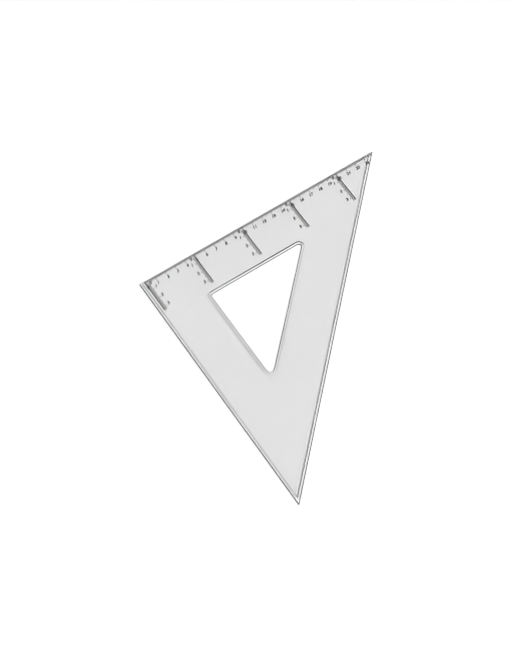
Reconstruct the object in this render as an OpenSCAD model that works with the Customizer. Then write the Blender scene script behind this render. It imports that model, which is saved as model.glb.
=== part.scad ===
// Drafting triangle: a clear 45 degree set square with a stepped rim, a triangular window,
// a millimetre scale along one leg and five short cross scales square to that leg.
//
// The plate lies flat with +Z up and its graduations on the underside, against the paper.
// The graduated leg runs along X at the +Y side, and the plain leg runs along Y at the -X side.
// The origin is the middle of the plate's bounding box, on the underside. Lengths are millimetres.

/* [Outline] */
// Length of each leg, measured to the sharp corners before they are rounded
leg = 245.8; // [243:0.1:300]
// Thickness of the plate inside the rim
plate_t = 1.6; // [1.2:0.1:4]
// Radius of the three outer corners
corner_r = 0.3; // [0.2:0.1:2]

/* [Stepped rim] */
// Width of the thin ledge along the ruling edges and round the window
ledge_w = 2.2; // [1.5:0.1:4]
// Thickness of the ledge
ledge_t = 0.8; // [0.6:0.1:1.3]
// Corner radius of the step between the outer ledge and the plate
step_r = 0.6; // [0.3:0.1:2]

/* [Window] */
// Width of the bar under the graduated leg, from the edge to the window
bar_graduated = 42.8; // [40:0.1:50]
// Width of the bar beside the plain leg, from the edge to the window
bar_plain = 45.4; // [40:0.1:52]
// Width of the bar along the hypotenuse, from the edge to the window
bar_hypotenuse = 43.7; // [20:0.1:52]
// Corner radius of the window at the right angle and at its end by the graduated leg
window_r = 2.4; // [1:0.1:6]
// Corner radius of the window at its end by the plain leg
window_end_r = 3.8; // [1:0.1:6]

/* [Marks] */
// Width of a graduation line
tick_w = 0.4; // [0.2:0.05:0.5]
// Length of a millimetre mark
tick_mm_len = 2.4; // [1.8:0.1:2.8]
// Length of a half centimetre mark
tick_half_len = 3.1; // [2.7:0.1:3.7]
// Length of a centimetre mark
tick_cm_len = 4; // [3.4:0.1:6]
// Plain margin between the graduated edge and the marks
tick_margin = 0.2; // [0.2:0.05:1]
// Depth of the engraved grooves that hold the ink
groove_d = 0.25; // [0.15:0.01:0.4]
// Gap that the dried ink leaves to the walls of its groove
ink_clearance = 0.01; // [0.005:0.005:0.03]
// Depth of the ink's face below the underside, so that it doesn't rub on the paper
ink_sink = 0.02; // [0.01:0.005:0.05]

/* [Edge scale] */
// Distance of the zero mark from the corner of the right angle
zero_offset = 4.7; // [4:0.1:8]
// Least room along a mark between its end and the hypotenuse, where the scale runs out into the tip
tip_room = 0.7; // [0.5:0.1:10]

/* [Cross scales] */
// Distance between neighbouring cross scales
cross_pitch = 50; // [30:10:50]
// Length of a cross scale from the graduated edge
cross_len = 33; // [20:1:36]
// Width of the line that a cross scale stands on
cross_line_w = 0.6; // [0.4:0.05:0.8]
// Extra length of a cross scale's marks over the edge scale's
cross_mark_extra = 0.4; // [0:0.1:0.6]

/* [Hidden] */

$fn = 64;
overrun = 1;
mm_per_half = 5;
mm_per_cm = 10;
cross_count = 5;

// Outline: the rounded corners take this much off each leg's reach.
reach = leg - corner_r * sqrt(2);

// Edge scale: whole millimetres between the zero mark and the far corner.
scale_mm = floor(leg - zero_offset);

// Cross scales: the first tick is the first whole millimetre that clears the edge marks.
cross_first = ceil(tick_half_len);

clear_plastic = [0.86, 0.87, 0.88, 0.55];
black_ink = [0.06, 0.06, 0.07];

// Mark length by rank: a centimetre, a half centimetre or a plain millimetre
function tick_len(i) =
    i % mm_per_cm == 0 ? tick_cm_len :
    i % mm_per_half == 0 ? tick_half_len :
    tick_mm_len;

// True where a cross scale's own line takes the place of the edge mark
function is_cross(i) = i % cross_pitch == 0 && i / cross_pitch < cross_count;

// True where the plate is still wide enough for a mark
function fits(i) = zero_offset + i + tick_len(i) + tip_room <= leg;

// Unit normals of the graduated leg, the plain leg and the hypotenuse, all pointing outwards
normal_graduated = [0, 1];
normal_plain = [-1, 0];
normal_hypotenuse = [1, -1] / sqrt(2);

// Corners of the triangle whose sides lie inside the outer sides by the three given distances,
// from the right angle at the origin: right angle, end of graduated leg, end of plain leg
function inset_corners(graduated, plain, hypotenuse) =
    let (sum = leg - hypotenuse * sqrt(2))
    [
        [plain, -graduated],
        [sum - graduated, -graduated],
        [plain, plain - sum]
    ];

// Triangle inside the outer sides by the three given distances, with a radius for each corner
module rounded_triangle(graduated, plain, hypotenuse, radii) {
    centres = [
        for (i = [0 : 2])
            inset_corners(graduated + radii[i], plain + radii[i], hypotenuse + radii[i])[i]
    ];
    polygon([
        centres[0] + radii[0] * normal_plain,
        centres[0] + radii[0] * normal_graduated,
        centres[1] + radii[1] * normal_graduated,
        centres[1] + radii[1] * normal_hypotenuse,
        centres[2] + radii[2] * normal_hypotenuse,
        centres[2] + radii[2] * normal_plain
    ]);
    for (i = [0 : 2])
        translate(centres[i])
            circle(radii[i]);
}

// The window widened on every side by the given distance
module window_outline(widened) {
    rounded_triangle(
        bar_graduated - widened,
        bar_plain - widened,
        bar_hypotenuse - widened,
        [window_r + widened, window_r + widened, window_end_r + widened]
    );
}

// One straight stroke of a mark, from a start point over a width and a height, grown on all sides
module stroke(start, size, grown) {
    translate([start[0] - grown, start[1] - grown])
        square([size[0] + 2 * grown, size[1] + 2 * grown]);
}

// The edge scale's marks of one length, in plan
module edge_marks(len, grown) {
    for (i = [0 : scale_mm])
        if (tick_len(i) == len && fits(i) && !is_cross(i))
            stroke([zero_offset + i - tick_w / 2, -len], [tick_w, len - tick_margin], grown);
}

// One cross scale in plan: its line and its marks, which point away from the right angle on the
// first scale and towards it on the others
module cross_marks(k, grown) {
    line_x = zero_offset + k * cross_pitch;
    end_y = -cross_len - tick_w / 2;
    stroke([line_x - cross_line_w / 2, end_y], [cross_line_w, -end_y - tick_margin], grown);
    for (j = [cross_first : cross_len]) {
        len = tick_len(j) + cross_mark_extra;
        stroke([k == 0 ? line_x : line_x - len, -j - tick_w / 2], [len, tick_w], grown);
    }
}

// Places what is drawn from the right angle into the part's own frame
module in_frame() {
    translate([-reach / 2, reach / 2, 0])
        children();
}

// Engraves plan shapes into the underside
module engraved() {
    translate([0, 0, -overrun])
        linear_extrude(overrun + groove_d)
            children();
}

// Fills engraved plan shapes with ink
module inked() {
    color(black_ink)
        in_frame()
            translate([0, 0, ink_sink])
                linear_extrude(groove_d - ink_clearance - ink_sink)
                    children();
}

// The clear moulding: ledge all round, thicker plate inside it, window and grooves
module plate() {
    color(clear_plastic)
        in_frame()
            difference() {
                union() {
                    linear_extrude(ledge_t)
                        rounded_triangle(0, 0, 0, [corner_r, corner_r, corner_r]);
                    linear_extrude(plate_t)
                        rounded_triangle(ledge_w, ledge_w, ledge_w, [step_r, step_r, step_r]);
                }
                translate([0, 0, -overrun])
                    linear_extrude(plate_t + 2 * overrun)
                        window_outline(0);
                translate([0, 0, ledge_t])
                    linear_extrude(plate_t - ledge_t + overrun)
                        window_outline(ledge_w);
                for (len = [tick_mm_len, tick_half_len, tick_cm_len])
                    engraved()
                        edge_marks(len, ink_clearance);
                for (k = [0 : cross_count - 1])
                    engraved()
                        cross_marks(k, ink_clearance);
            }
}

// Ink of the millimetre marks along the graduated edge
module edge_millimetre_ticks() {
    inked()
        edge_marks(tick_mm_len, 0);
}

// Ink of the half centimetre marks along the graduated edge
module edge_half_centimetre_ticks() {
    inked()
        edge_marks(tick_half_len, 0);
}

// Ink of the centimetre marks along the graduated edge
module edge_centimetre_ticks() {
    inked()
        edge_marks(tick_cm_len, 0);
}

// Ink of one cross scale, counted from the right angle
module cross_scale(k) {
    inked()
        cross_marks(k, 0);
}

plate();
edge_millimetre_ticks();
edge_half_centimetre_ticks();
edge_centimetre_ticks();
cross_scale(0);  // cross_scale_0
cross_scale(1);  // cross_scale_5
cross_scale(2);  // cross_scale_10
cross_scale(3);  // cross_scale_15
cross_scale(4);  // cross_scale_20
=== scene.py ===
"""Clear 45 degree drafting triangle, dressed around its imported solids.

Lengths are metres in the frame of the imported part: the plate lies on z = 0 with +Z up, the graduated leg
runs along X at the +Y side, and the plain leg runs along Y at the -X side.
"""

import logging
import math
from dataclasses import dataclass, field
from enum import Enum

import bmesh
import bpy
from mathutils import Matrix, Vector
from mathutils.kdtree import KDTree


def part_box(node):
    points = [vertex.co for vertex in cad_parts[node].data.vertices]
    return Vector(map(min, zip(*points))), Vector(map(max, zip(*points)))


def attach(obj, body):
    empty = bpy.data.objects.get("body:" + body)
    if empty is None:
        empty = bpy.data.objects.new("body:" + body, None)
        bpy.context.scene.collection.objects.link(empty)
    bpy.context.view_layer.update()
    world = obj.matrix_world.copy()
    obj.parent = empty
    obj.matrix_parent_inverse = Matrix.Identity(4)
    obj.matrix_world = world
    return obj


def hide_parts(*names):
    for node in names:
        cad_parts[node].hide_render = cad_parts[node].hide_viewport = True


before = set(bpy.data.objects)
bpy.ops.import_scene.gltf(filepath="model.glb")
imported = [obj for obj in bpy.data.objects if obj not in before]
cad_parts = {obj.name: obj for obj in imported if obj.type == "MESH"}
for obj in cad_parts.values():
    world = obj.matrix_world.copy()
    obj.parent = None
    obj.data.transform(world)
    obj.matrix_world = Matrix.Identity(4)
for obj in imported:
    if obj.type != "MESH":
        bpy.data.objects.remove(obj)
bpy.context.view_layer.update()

Socket = bpy.types.NodeSocket
Mixable = float | tuple[float, ...] | Socket
Colour = tuple[float, float, float]
Profile = list[tuple[float, float]]

LOG = logging.getLogger("drafting_triangle")
BODY = "root"
MM = 0.001
CENTIMETRE = 10.0 * MM
SQRT_2 = math.sqrt(2.0)


class Slot(Enum):
    """The record's material slots."""

    CLEAR_PLASTIC = "clear_plastic"
    BLACK_INK = "black_ink"


class Pointing(Enum):
    """Which way the marks of a cross scale point along the graduated leg."""

    AWAY_FROM_RIGHT_ANGLE = 1.0
    TOWARDS_RIGHT_ANGLE = -1.0


class Mixed(Enum):
    """What a mix node mixes."""

    NUMBERS = "FLOAT"
    COLOURS = "RGBA"


@dataclass(frozen=True)
class Insets:
    """Distances of a triangle's sides from the plate's three outer sides.

    Attributes:
        graduated: Distance from the graduated leg's edge.
        plain: Distance from the plain leg's edge.
        hypotenuse: Distance from the hypotenuse's edge.
    """

    graduated: float
    plain: float
    hypotenuse: float

    def moved(self, distance: float) -> "Insets":
        """Returns the same sides moved inwards by one more distance."""
        return Insets(self.graduated + distance, self.plain + distance, self.hypotenuse + distance)


class NodeGraph:
    """A node tree, with short calls to add nodes and links.

    Attributes:
        tree: The node tree itself.
    """

    def __init__(self, tree: bpy.types.NodeTree) -> None:
        """Takes over a node tree."""
        self.tree = tree

    def add(self, kind: str, **values: object) -> bpy.types.Node:
        """Adds a node.

        Args:
            kind: The node's type name.
            values: Properties to set on the node itself.

        Returns:
            The new node.
        """
        node = self.tree.nodes.new(kind)
        for key, value in values.items():
            setattr(node, key, value)
        return node

    def link(self, start: Socket, end: Socket) -> None:
        """Joins an output socket to an input socket."""
        self.tree.links.new(start, end)

    def height(self, vector: Socket) -> Socket:
        """Takes the upward part of a vector.

        Args:
            vector: The vector's socket.

        Returns:
            Its upward part.
        """
        node = self.add("ShaderNodeSeparateXYZ")
        self.link(vector, node.inputs["Vector"])
        return node.outputs["Z"]

    def noise(self, coordinates: Socket, scale: float, detail: float) -> Socket:
        """Adds a noise texture.

        Args:
            coordinates: Where the texture is read.
            scale: Blotches per metre.
            detail: Octaves of finer noise.

        Returns:
            The noise's value, from 0 to 1.
        """
        node = self.add("ShaderNodeTexNoise")
        node.inputs["Scale"].default_value = scale
        node.inputs["Detail"].default_value = detail
        self.link(coordinates, node.inputs["Vector"])
        return node.outputs["Fac"]

    def ranged(self, value: Socket, low: float, high: float) -> Socket:
        """Maps a value from 0..1 to a range.

        Args:
            value: The socket to map.
            low: The result at 0.
            high: The result at 1.

        Returns:
            The mapped value.
        """
        node = self.add("ShaderNodeMapRange")
        node.inputs["To Min"].default_value = low
        node.inputs["To Max"].default_value = high
        self.link(value, node.inputs["Value"])
        return node.outputs["Result"]

    def eased(self, value: Socket, start: float, stop: float, high: float = 1.0) -> Socket:
        """Rises smoothly from 0 as a value goes from a start to a stop.

        Args:
            value: The socket to follow.
            start: Where the result is still 0.
            stop: Where the result is full.
            high: The full result.

        Returns:
            The eased value.
        """
        node = self.add("ShaderNodeMapRange", interpolation_type="SMOOTHSTEP")
        node.inputs["From Min"].default_value = start
        node.inputs["From Max"].default_value = stop
        node.inputs["To Max"].default_value = high
        self.link(value, node.inputs["Value"])
        return node.outputs["Result"]

    def mix(self, share: Socket, start: Mixable, end: Mixable, kind: Mixed = Mixed.NUMBERS) -> Socket:
        """Mixes two numbers or two colours.

        Args:
            share: How far to go from the first to the second.
            start: The first, a constant or a socket.
            end: The second, a constant or a socket.
            kind: What the two are.

        Returns:
            The mixed value.
        """
        node = self.add("ShaderNodeMix", data_type=kind.value)
        self.link(share, node.inputs["Factor"])
        for name, value in (("A", start), ("B", end)):
            if isinstance(value, Socket):
                self.link(value, node.inputs[name])
            else:
                node.inputs[name].default_value = value
        return node.outputs["Result"]


class MaterialGraph(NodeGraph):
    """The node tree of a new material.

    Attributes:
        material: The material.
        output: Its output node.
    """

    def __init__(self, name: str) -> None:
        """Starts a material that holds only an output.

        Args:
            name: The material's name.
        """
        self.material = bpy.data.materials.new(name)
        self.material.use_nodes = True
        super().__init__(self.material.node_tree)
        self.tree.nodes.clear()
        self.output = self.add("ShaderNodeOutputMaterial")


@dataclass(frozen=True)
class ClearPlastic:
    """Polished clear plastic with a faint grey body, fine handling scratches and satin edges; the edges
    and the step have painted shade in their colour.

    Attributes:
        edge_top: Height that the satin edges and their near-black painted shade reach, under the polished
            step.
        ior: Index of refraction.
        tint: Colour that light takes on inside the plate.
        density: How fast it takes on that colour, per metre.
        smooth: Roughness of the polished faces and of the step.
        scuffed: Roughness where the faces are scratched most.
        scuffs_per_metre: How close the scratched patches lie.
        scuff_detail: Octaves of finer scratches in a patch.
        satin: Roughness of the edges.
        edge_tone: How bright the edges' colour is: painted shade, near black, that draws dark outline
            lines along the edges.
        step_tone: How bright the step's colour is: painted shade, half dark, that draws a dark line along
            the step.
        flat_level: Upward part of the normal down to which a face counts as flat.
        wall_level: Upward part of the normal from which a face counts as a wall.
    """

    edge_top: float
    ior: float = 1.52
    tint: Colour = (0.63, 0.63, 0.63)
    density: float = 185.0
    smooth: float = 0.0
    scuffed: float = 0.06
    scuffs_per_metre: float = 90.0
    scuff_detail: float = 6.0
    satin: float = 0.35
    edge_tone: float = 0.03
    step_tone: float = 0.5
    flat_level: float = 0.9995
    wall_level: float = 0.97

    def steepness(self, graph: NodeGraph, normal: Socket) -> Socket:
        """Finds how steep the plate's surface stands.

        Args:
            graph: The material's nodes.
            normal: The surface's normal in the part's frame.

        Returns:
            0 on the flat faces and 1 on the walls.
        """
        level = graph.add("ShaderNodeMath", operation="ABSOLUTE")
        graph.link(graph.height(normal), level.inputs[0])
        return graph.eased(level.outputs["Value"], self.flat_level, self.wall_level)

    def below_step(self, graph: NodeGraph, place: Socket) -> Socket:
        """Tells the satin edges from the polished step above them.

        Args:
            graph: The material's nodes.
            Tells the satin edges, with their near-black painted shade, from the polished step above them
            with its lighter painted shade.

        Returns:
            1 on the edges and 0 on the step.
        """
        below = graph.add("ShaderNodeMath", operation="LESS_THAN")
        below.inputs[1].default_value = self.edge_top
        graph.link(graph.height(place), below.inputs[0])
        return below.outputs["Value"]

    def material(self) -> bpy.types.Material:
        """Makes the plate's material.

        Returns:
            Clear plastic with scuffed faces, a polished step and satin edges, the step and the edges
            darkened with painted shade.
        """
        graph = MaterialGraph("clear_plastic")
        shader = graph.add("ShaderNodeBsdfPrincipled")
        shader.inputs["IOR"].default_value = self.ior
        shader.inputs["Transmission Weight"].default_value = 1.0
        surface = graph.add("ShaderNodeTexCoord").outputs
        scuffs = graph.noise(surface["Object"], self.scuffs_per_metre, self.scuff_detail)
        haze = graph.ranged(scuffs, self.smooth, self.scuffed)
        steep = self.steepness(graph, surface["Normal"])
        edge = self.below_step(graph, surface["Object"])
        roughness = graph.mix(steep, haze, graph.mix(edge, self.smooth, self.satin))
        # Painted shade: the walls' base colour darkens to half on the step and nearly to black on the
        # edges, drawing dark outline lines.
        painted_tone = graph.mix(steep, 1.0, graph.mix(edge, self.step_tone, self.edge_tone))
        graph.link(roughness, shader.inputs["Roughness"])
        graph.link(painted_tone, shader.inputs["Base Color"])
        graph.link(shader.outputs["BSDF"], graph.output.inputs["Surface"])
        body = graph.add("ShaderNodeVolumeAbsorption")
        body.inputs["Color"].default_value = (*self.tint, 1.0)
        body.inputs["Density"].default_value = self.density
        graph.link(body.outputs["Volume"], graph.output.inputs["Volume"])
        return graph.material


@dataclass(frozen=True)
class BlackInk:
    """Matt black ink dried in a groove, a little uneven.

    Attributes:
        dark: Colour where the ink lies thick.
        worn: Colour where it lies thin.
        dark_roughness: Roughness where it lies thick.
        worn_roughness: Roughness where it lies thin.
        blotches_per_metre: How close the blotches lie.
        blotch_detail: Octaves of finer blotches.
    """

    dark: Colour = (0.010, 0.010, 0.011)
    worn: Colour = (0.035, 0.035, 0.037)
    dark_roughness: float = 0.45
    worn_roughness: float = 0.7
    blotches_per_metre: float = 900.0
    blotch_detail: float = 4.0

    def material(self) -> bpy.types.Material:
        """Makes the ink's material.

        Returns:
            Matt ink with blotches where it lies thin.
        """
        graph = MaterialGraph("black_ink")
        shader = graph.add("ShaderNodeBsdfPrincipled")
        place = graph.add("ShaderNodeTexCoord").outputs["Object"]
        blotch = graph.noise(place, self.blotches_per_metre, self.blotch_detail)
        colour = graph.mix(blotch, (*self.dark, 1.0), (*self.worn, 1.0), Mixed.COLOURS)
        roughness = graph.ranged(blotch, self.dark_roughness, self.worn_roughness)
        graph.link(colour, shader.inputs["Base Color"])
        graph.link(roughness, shader.inputs["Roughness"])
        graph.link(shader.outputs["BSDF"], graph.output.inputs["Surface"])
        return graph.material


def select_only(*objects: bpy.types.Object) -> None:
    """Selects some objects alone, and makes the first one active.

    Args:
        objects: The objects to select.
    """
    bpy.ops.object.select_all(action="DESELECT")
    for item in objects:
        item.select_set(True)
    bpy.context.view_layer.objects.active = objects[0]


def close_skin(merge_distance: float) -> None:
    """Merges the active mesh's doubled corners and turns its faces outwards.

    Args:
        merge_distance: How near to each other doubled corners lie.
    """
    bpy.ops.object.mode_set(mode="EDIT")
    bpy.ops.mesh.select_all(action="SELECT")
    bpy.ops.mesh.remove_doubles(threshold=merge_distance)
    bpy.ops.mesh.normals_make_consistent(inside=False)
    bpy.ops.object.mode_set(mode="OBJECT")


def settle(piece: bpy.types.Object, material: bpy.types.Material) -> None:
    """Puts a finished piece's place into its mesh, dresses it and seats it on the part.

    Args:
        piece: The finished object.
        material: The material that it wears here.
    """
    select_only(piece)
    bpy.ops.object.transform_apply(location=True, rotation=True, scale=True)
    piece.data.name = piece.name
    piece.data.materials.clear()
    piece.data.materials.append(material)
    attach(piece, BODY)
    LOG.info("made %s with %d faces", piece.name, len(piece.data.polygons))


def dress(node: str, material: bpy.types.Material) -> None:
    """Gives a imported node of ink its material.

    Args:
        node: The node's name.
        material: The material that it wears here.
    """
    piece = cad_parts[node]
    piece.data.materials.clear()
    piece.data.materials.append(material)
    LOG.info("dressed %s", node)


def move_ring(piece: bpy.types.Object, before: list[Vector], after: list[Vector]) -> None:
    """Moves the selected loop of a mesh in edit mode from one ring to another.

    Args:
        piece: The object in edit mode.
        before: Where the loop's corners lie now.
        after: Where they go, in the same order.
    """
    finder = KDTree(len(before))
    for index, place in enumerate(before):
        finder.insert(place, index)
    finder.balance()
    skin = bmesh.from_edit_mesh(piece.data)
    for corner in skin.verts:
        if corner.select:
            corner.co = after[finder.find(corner.co)[1]]
    bmesh.update_edit_mesh(piece.data)


def loft(name: str, rings: list[list[Vector]], merge_distance: float) -> bpy.types.Object:
    """Models a closed skin by extruding one loop from ring to ring and back to the first.

    Args:
        name: The object's name.
        rings: Rings of equally many corners, in the same order round.
        merge_distance: How near to each other doubled corners lie.

    Returns:
        The finished object.
    """
    bpy.ops.object.select_all(action="DESELECT")
    bpy.ops.mesh.primitive_circle_add(vertices=len(rings[0]), radius=1.0)
    piece = bpy.context.object
    piece.name = name
    start = [corner.co.copy() for corner in piece.data.vertices]
    bpy.ops.object.mode_set(mode="EDIT")
    bpy.ops.mesh.select_mode(type="EDGE")
    bpy.ops.mesh.select_all(action="SELECT")
    move_ring(piece, start, rings[0])
    for before, after in zip(rings, rings[1:] + rings[:1]):
        bpy.ops.mesh.extrude_edges_move()
        move_ring(piece, before, after)
    close_skin(merge_distance)
    bpy.ops.object.shade_smooth()
    return piece


@dataclass
class Moulding:
    """The clear plate: a thin ledge all round, a thicker body inside it and a stepped window.

    Attributes:
        corner_radius: Radius of the three outer corners.
        ledge_width: Distance from an edge to the middle of the step.
        ledge_thickness: Height of the ledge.
        step_radius: Corner radius of the step inside the outer ledge.
        bars: Distances of the window's sides from the outer sides.
        window_radius: Radius of the window's corners at the right angle and by the graduated leg.
        window_end_radius: Radius of the window's corner by the plain leg.
        step_run: How far the step leans in over its height.
        rim_round: Rounding of the ledge's upper edge.
        foot_round: Rounding of the lower edge.
        least_radius: Smallest radius of a corner, where an edge's rounding would leave none.
        hold: Width of the strips beside a bend, which keep the faces flat under smooth shading.
        merge_distance: How near to each other doubled corners lie.
        round_segments: Facets of one rounding.
        corner_step_degrees: Turn of the outline from one facet of a corner to the next.
        corner_turns: Directions in degrees that the outline faces before and after each corner, from
            the right angle to the end of the plain leg and the end of the graduated leg.
        low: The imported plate's lowest corner.
        high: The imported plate's highest corner.
    """

    corner_radius: float = 0.3 * MM
    ledge_width: float = 2.2 * MM
    ledge_thickness: float = 0.8 * MM
    step_radius: float = 0.6 * MM
    bars: Insets = Insets(42.8 * MM, 45.4 * MM, 43.7 * MM)
    window_radius: float = 2.4 * MM
    window_end_radius: float = 3.8 * MM
    step_run: float = 0.4 * MM
    rim_round: float = 0.48 * MM
    foot_round: float = 0.2 * MM
    least_radius: float = 0.02 * MM
    hold: float = 0.04 * MM
    merge_distance: float = 0.0001 * MM
    round_segments: int = 8
    corner_step_degrees: float = 5.0
    corner_turns: tuple[tuple[float, float], ...] = ((90.0, 180.0), (180.0, 315.0), (315.0, 450.0))
    low: Vector = field(default_factory=lambda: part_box("plate")[0])
    high: Vector = field(default_factory=lambda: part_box("plate")[1])

    @property
    def leg(self) -> float:
        """Length of a leg to its sharp corners."""
        return self.high.x - self.low.x + self.corner_radius * SQRT_2

    @property
    def right_angle(self) -> Vector:
        """The sharp corner of the right angle, on the underside."""
        return Vector((self.low.x, self.high.y, self.low.z))

    @property
    def edge_top(self) -> float:
        """Height of the edges, just under the ledge's face."""
        return self.low.z + self.ledge_thickness - self.hold

    def corners(self, sides: Insets) -> list[Vector]:
        """Finds the corners of a triangle inside the plate.

        Args:
            sides: Distances of its sides from the plate's outer sides.

        Returns:
            The right angle, the end of the plain leg and the end of the graduated leg.
        """
        total = self.leg - sides.hypotenuse * SQRT_2
        return [
            self.right_angle + Vector((sides.plain, -sides.graduated, 0.0)),
            self.right_angle + Vector((sides.plain, sides.plain - total, 0.0)),
            self.right_angle + Vector((total - sides.graduated, -sides.graduated, 0.0)),
        ]

    def ring(self, sides: Insets, radii: tuple[float, float, float], height: float) -> list[Vector]:
        """Draws a triangle with round corners.

        Args:
            sides: Distances of its sides from the plate's outer sides.
            radii: Radii at the right angle, the end of the plain leg and the end of the graduated leg.
            height: Height that it lies at.

        Returns:
            Its points, anticlockwise from the graduated side.
        """
        points = []
        for index, (radius, (start, stop)) in enumerate(zip(radii, self.corner_turns)):
            centre = self.corners(sides.moved(radius))[index]
            steps = round((stop - start) / self.corner_step_degrees)
            for step in range(steps + 1):
                angle = math.radians(start + (stop - start) * step / steps)
                x = centre.x + radius * math.cos(angle)
                y = centre.y + radius * math.sin(angle)
                points.append(Vector((x, y, height)))
        return points

    def arc(self, centre: tuple[float, float], radius: float, start: float, stop: float) -> Profile:
        """Draws one rounding of the rim's section.

        Args:
            centre: Distance from the edge and height of the rounding's middle.
            radius: Its radius.
            start: The angle that it starts at, in degrees from the inward direction.
            stop: The angle that it ends at.

        Returns:
            Distances from the edge and heights along the rounding.
        """
        points = []
        for step in range(self.round_segments + 1):
            angle = math.radians(start + (stop - start) * step / self.round_segments)
            points.append((centre[0] + radius * math.cos(angle), centre[1] + radius * math.sin(angle)))
        return points

    def section(self) -> Profile:
        """Draws the rim's section, from the underside round the ledge and up the step to the top.

        Returns:
            Distances from the edge and heights.
        """
        low, top = self.low.z, self.high.z
        ledge = low + self.ledge_thickness
        foot, rim = self.foot_round, self.rim_round
        start, rise = self.ledge_width - self.step_run / 2.0, top - ledge
        end = start + self.step_run
        share = self.hold / math.hypot(self.step_run, rise)
        return [
            (foot + self.hold, low),
            *self.arc((foot, low + foot), foot, 270.0, 180.0),
            *self.arc((rim, ledge - rim), rim, 180.0, 90.0),
            (rim + self.hold, ledge),
            (start - self.hold, ledge),
            (start, ledge),
            (start + share * self.step_run, ledge + share * rise),
            (end - share * self.step_run, top - share * rise),
            (end, top),
            (end + self.hold, top),
        ]

    def outer_radius(self, inset: float) -> float:
        """Finds the outline's corner radius at a distance from the edge.

        Args:
            inset: The distance from the edge.

        Returns:
            The radius, which shrinks from the edge inwards and again from the ledge up the step.
        """
        if inset < self.ledge_width / 2.0:
            radius = self.corner_radius - inset
        else:
            radius = self.step_radius + self.ledge_width - inset
        return max(radius, self.least_radius)

    def build(self, material: bpy.types.Material) -> None:
        """Models the plate.

        Args:
            material: The clear plastic.
        """
        outer = Insets(0.0, 0.0, 0.0)
        rings = []
        for inset, height in self.section():
            radius = self.outer_radius(inset)
            rings.append(self.ring(outer.moved(inset), (radius, radius, radius), height))
        for widened, height in reversed(self.section()):
            radius, end_radius = self.window_radius + widened, self.window_end_radius + widened
            rings.append(self.ring(self.bars.moved(-widened), (radius, end_radius, radius), height))
        plate = loft("clear_plate", rings, self.merge_distance)
        settle(plate, material)
        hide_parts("plate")


@dataclass
class Lettering:
    """Inclined numerals, as a cutter engraves them: one size, one slope, filled with ink.

    Attributes:
        height: Height of a digit.
        slope_degrees: How far the digits lean.
        digit_share: A digit's height as a share of the font's size.
        bolder: How much the strokes are widened on each side.
        floor: Height of the ink's lower face.
        ceiling: Height of the ink's upper face.
        merge_distance: How near to each other doubled corners lie.
    """

    height: float = 3.0 * MM
    slope_degrees: float = 15.0
    digit_share: float = 0.73
    bolder: float = 0.16 * MM
    floor: float = 0.03 * MM
    ceiling: float = 0.23 * MM
    merge_distance: float = 0.001 * MM

    def numeral(self, text: str, centre: Vector) -> bpy.types.Object:
        """Models one number, flat in the plate's underside and read from above.

        Args:
            text: The digits.
            centre: The middle of the number.

        Returns:
            The number as a mesh.
        """
        bpy.ops.object.select_all(action="DESELECT")
        bpy.ops.object.text_add()
        number = bpy.context.object
        number.data.body = text
        number.data.size = self.height / self.digit_share
        number.data.shear = math.tan(math.radians(self.slope_degrees))
        number.data.bevel_depth = self.bolder
        number.data.bevel_resolution = 0
        bpy.ops.object.convert(target="MESH")
        number = bpy.context.object
        flatter = (self.ceiling - self.floor) / (2.0 * self.bolder)
        bpy.ops.transform.resize(value=(1.0, 1.0, flatter))
        bpy.ops.object.transform_apply(location=False, rotation=False, scale=True)
        low, high = Vector(number.bound_box[0]), Vector(number.bound_box[6])
        goal = Vector((centre.x, centre.y, (self.floor + self.ceiling) / 2.0))
        bpy.ops.transform.translate(value=goal - (low + high) / 2.0)
        return number

    def row(self, name: str, numbers: list[tuple[str, Vector]], material: bpy.types.Material) -> None:
        """Models the numerals of one scale as one piece.

        Args:
            name: The piece's name.
            numbers: Each number's digits and middle.
            material: The ink.
        """
        made = [self.numeral(text, centre) for text, centre in numbers]
        select_only(*made)
        bpy.ops.object.join()
        piece = bpy.context.object
        piece.name = name
        close_skin(self.merge_distance)
        settle(piece, material)


@dataclass
class EdgeScale:
    """The millimetre scale along the graduated leg.

    Attributes:
        zero_offset: Distance of the zero mark from the right angle.
        last_number: The last numeral.
        numeral_depth: Distance of the numerals' middles from the edge.
        nodes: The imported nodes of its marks.
    """

    zero_offset: float = 4.7 * MM
    last_number: int = 23
    numeral_depth: float = 7.0 * MM
    nodes: tuple[str, ...] = (
        "edge_millimetre_ticks",
        "edge_half_centimetre_ticks",
        "edge_centimetre_ticks",
    )

    def zero(self, moulding: Moulding) -> Vector:
        """Returns the zero mark's place on the graduated edge."""
        return moulding.right_angle + Vector((self.zero_offset, 0.0, 0.0))

    def build(self, moulding: Moulding, lettering: Lettering, material: bpy.types.Material) -> None:
        """Dresses the marks and models the numerals beside them.

        Args:
            moulding: The plate that carries the scale.
            lettering: How the numerals are cut.
            material: The ink.
        """
        for name in self.nodes:
            dress(name, material)
        zero = self.zero(moulding)
        numbers = [
            (str(value), zero + Vector((value * CENTIMETRE, -self.numeral_depth, 0.0)))
            for value in range(self.last_number + 1)
        ]
        lettering.row("edge_numerals", numbers, material)


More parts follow.
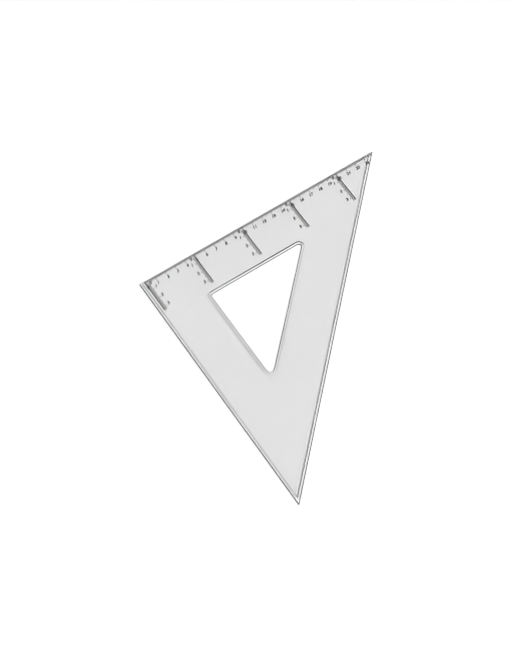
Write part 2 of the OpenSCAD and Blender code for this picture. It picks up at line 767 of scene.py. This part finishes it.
@dataclass
class CrossScale:
    """One short scale square to the graduated leg.

    Attributes:
        at: The edge scale's centimetre that it stands on.
        pointing: Which way its marks point.
        reach: Distance of its numerals' middles from its line.
        last_number: The last numeral.
        lead: How far a numeral's middle lies before its mark.
        zero_reach: Distance of the zero's middle from its line.
        zero_depth: Distance of the zero's middle from the graduated edge.
    """

    at: int
    pointing: Pointing
    reach: float = 6.57 * MM
    last_number: int = 3
    lead: float = 0.92 * MM
    zero_reach: float = 4.3 * MM
    zero_depth: float = 3.5 * MM

    def build(
        self, edge: EdgeScale, moulding: Moulding, lettering: Lettering, material: bpy.types.Material
    ) -> None:
        """Dresses the scale's marks and models its numerals.

        Args:
            edge: The scale that it stands on.
            moulding: The plate that carries it.
            lettering: How the numerals are cut.
            material: The ink.
        """
        dress(f"cross_scale_{self.at}", material)
        foot = edge.zero(moulding) + Vector((self.at * CENTIMETRE, 0.0, 0.0))
        side = self.pointing.value
        numbers = [("0", foot + Vector((side * self.zero_reach, -self.zero_depth, 0.0)))]
        for value in range(1, self.last_number + 1):
            depth = value * CENTIMETRE - self.lead
            numbers.append((str(value), foot + Vector((side * self.reach, -depth, 0.0))))
        lettering.row(f"cross_numerals_{self.at}", numbers, material)


@dataclass(frozen=True)
class SoftLight:
    """A round soft light in the sky.

    Attributes:
        azimuth_degrees: Its direction, from +X towards +Y.
        height_degrees: Its height over the horizon.
        half_width_degrees: Its half width, to about the middle of its faded rim.
        fade: The share of the half width that its rim fades over, to each side.
        share: Its share of the light on the floor.
    """

    azimuth_degrees: float
    height_degrees: float = 40.0
    half_width_degrees: float = 20.0
    fade: float = 0.2
    share: float = 0.2

    def radiance(self, graph: NodeGraph, direction: Socket, level: float) -> Socket:
        """Adds the light to the sky's nodes.

        Args:
            graph: The sky's nodes.
            direction: The direction that is looked in.
            level: The light on the floor from the whole sky.

        Returns:
            The light's strength in that direction.
        """
        turn, lift = math.radians(self.azimuth_degrees), math.radians(self.height_degrees)
        width = math.radians(self.half_width_degrees)
        towards = graph.add("ShaderNodeVectorMath", operation="DOT_PRODUCT")
        towards.inputs[1].default_value = (
            math.cos(lift) * math.cos(turn),
            math.cos(lift) * math.sin(turn),
            math.sin(lift),
        )
        graph.link(direction, towards.inputs[0])
        return graph.eased(
            towards.outputs["Value"],
            math.cos(width * (1.0 + self.fade)),
            math.cos(width * (1.0 - self.fade)),
            level * self.share / (math.sin(width) ** 2 * math.sin(lift)),
        )


@dataclass
class Studio:
    """A pale floor under an even sky with three soft lights, and the photograph's camera.

    Attributes:
        floor_size: Width of the floor.
        floor_colour: Colour of the floor.
        floor_gap: Gap that keeps the floor clear of the plate's underside.
        camera_place: Where the camera stands.
        camera_target: What it looks at.
        camera_roll_degrees: How far it is turned about its view.
        lens: Its focal length in millimetres.
        sensor_width: Width of its sensor in millimetres.
        level: The light on the floor from the whole sky.
        lights: The soft lights. An even sky gives what their shares leave.
        pixel_filter: Width in pixels that each pixel is averaged over.
    """

    floor_size: float = 12.0
    floor_colour: Colour = (0.97, 0.97, 0.97)
    floor_gap: float = 0.05 * MM
    camera_place: Vector = Vector((-0.43707, -0.56725, 1.34233))
    camera_target: Vector = Vector((-0.06208, 0.03123, 0.0012))
    camera_roll_degrees: float = -1.554
    lens: float = 97.818
    sensor_width: float = 36.0
    level: float = 1.03
    lights: tuple[SoftLight, ...] = (
        SoftLight(-45.0, share=0.45),
        SoftLight(0.0, share=0.2),
        SoftLight(180.0, share=0.15),
    )
    pixel_filter: float = 1.0

    def build(self) -> None:
        """Builds the floor, the light and the camera, and keeps the picture's fine lines sharp."""
        self.add_floor()
        self.add_light()
        self.add_camera()
        scene = bpy.context.scene
        scene.view_settings.view_transform = "Standard"
        scene.cycles.blur_glossy = 0.0
        scene.cycles.filter_width = self.pixel_filter

    def add_floor(self) -> None:
        """Lays a plain pale floor just under the plate."""
        bpy.ops.object.select_all(action="DESELECT")
        bpy.ops.mesh.primitive_plane_add(size=self.floor_size, location=(0.0, 0.0, -self.floor_gap))
        floor = bpy.context.object
        floor.name = "floor"
        graph = MaterialGraph("pale_floor")
        shader = graph.add("ShaderNodeBsdfDiffuse")
        shader.inputs["Color"].default_value = (*self.floor_colour, 1.0)
        graph.link(shader.outputs["BSDF"], graph.output.inputs["Surface"])
        floor.data.materials.append(graph.material)

    def add_light(self) -> None:
        """Lights the scene with an even sky and the soft lights in it."""
        world = bpy.data.worlds.new("studio")
        bpy.context.scene.world = world
        world.use_nodes = True
        graph = NodeGraph(world.node_tree)
        direction = graph.add("ShaderNodeTexCoord").outputs["Generated"]
        total = graph.add("ShaderNodeValue").outputs["Value"]
        total.default_value = self.level * (1.0 - sum(light.share for light in self.lights))
        for light in self.lights:
            brighter = graph.add("ShaderNodeMath", operation="ADD")
            graph.link(total, brighter.inputs[0])
            graph.link(light.radiance(graph, direction, self.level), brighter.inputs[1])
            total = brighter.outputs["Value"]
        sky = graph.tree.nodes["Background"]
        sky.inputs["Color"].default_value = (1.0, 1.0, 1.0, 1.0)
        graph.link(total, sky.inputs["Strength"])

    def add_camera(self) -> None:
        """Places the camera where the photograph was taken from."""
        bpy.ops.object.select_all(action="DESELECT")
        bpy.ops.object.camera_add(location=self.camera_place)
        camera = bpy.context.object
        camera.name = "camera"
        camera.data.lens = self.lens
        camera.data.sensor_width = self.sensor_width
        back = (self.camera_place - self.camera_target).normalized()
        turn = back.to_track_quat("Z", "Y").to_matrix().to_4x4()
        roll = Matrix.Rotation(math.radians(self.camera_roll_degrees), 4, "Z")
        camera.matrix_world = Matrix.Translation(self.camera_place) @ turn @ roll
        bpy.context.scene.camera = camera


CROSS_SCALES = (
    CrossScale(0, Pointing.AWAY_FROM_RIGHT_ANGLE),
    CrossScale(5, Pointing.TOWARDS_RIGHT_ANGLE),
    CrossScale(10, Pointing.TOWARDS_RIGHT_ANGLE),
    CrossScale(15, Pointing.TOWARDS_RIGHT_ANGLE),
    CrossScale(20, Pointing.TOWARDS_RIGHT_ANGLE),
)


def main() -> None:
    """Builds the studio, the plate and its scales."""
    logging.basicConfig(level=logging.INFO)
    Studio().build()
    ink = BlackInk().material()
    moulding = Moulding()
    moulding.build(ClearPlastic(moulding.edge_top).material())
    lettering = Lettering()
    edge = EdgeScale()
    edge.build(moulding, lettering, ink)
    for scale in CROSS_SCALES:
        scale.build(edge, moulding, lettering, ink)


if __name__ == "__main__":
    main()
